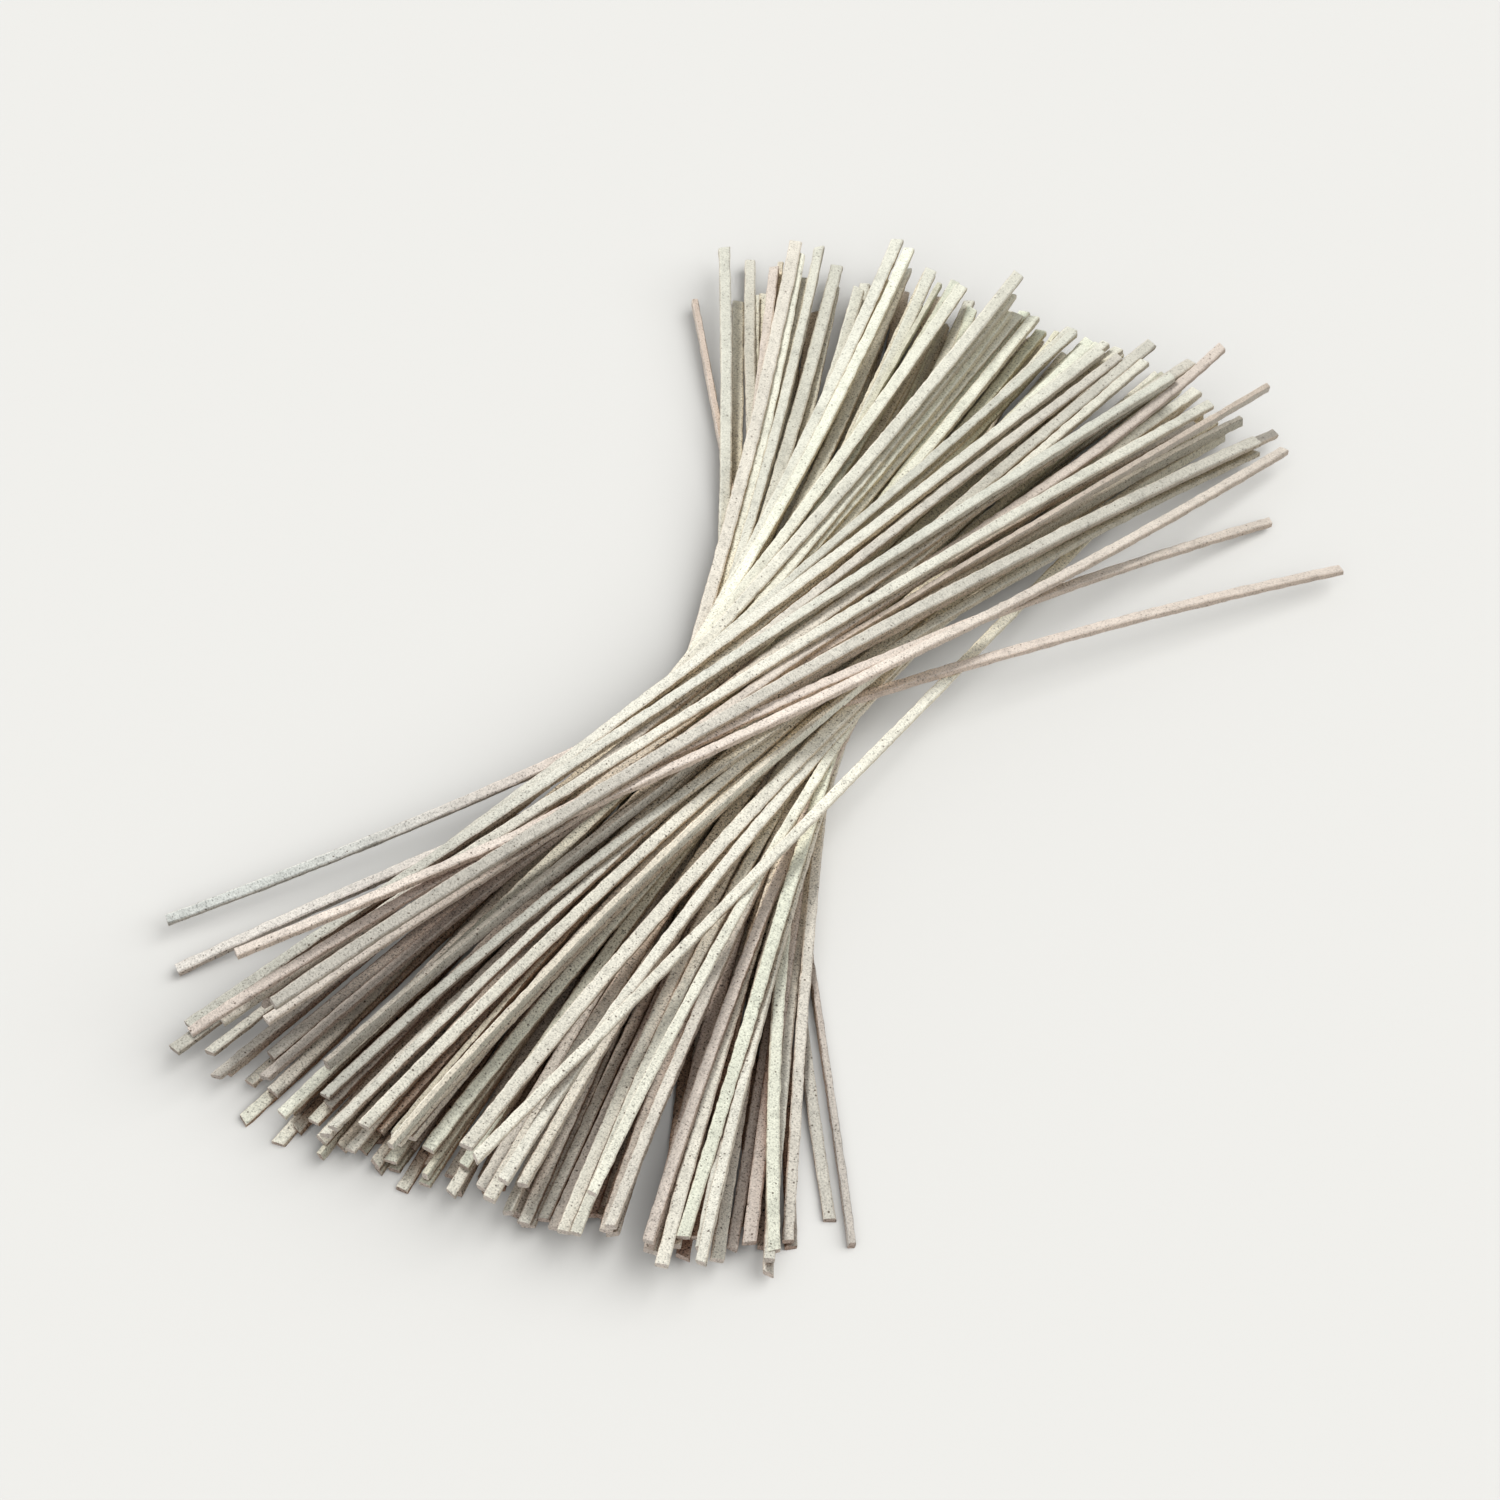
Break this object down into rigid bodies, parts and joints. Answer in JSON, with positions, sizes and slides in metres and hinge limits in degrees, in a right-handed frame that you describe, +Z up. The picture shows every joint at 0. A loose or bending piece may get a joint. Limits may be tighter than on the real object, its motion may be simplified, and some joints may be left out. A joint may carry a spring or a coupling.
{
  "type": "bundle of dry soba noodles",
  "caption": "Loose sheaf of dry flat buckwheat noodles lying on a table, drawn together and twisted at the waist and fanned out at both ends.",
  "frame": {"origin": "on the table, under the middle of the bounding box", "axes": "+Y along the sheaf from the near fan to the far fan, +X to the right, +Z up"},
  "size_m": [0.1198, 0.1878, 0.0187],
  "materials": {
    "noodle": "matt, floury and finely grained, with small dark flecks of husk"
  },
  "bodies": {
    "root": {"noodles": "noodle"}
  },
  "joints": []
}
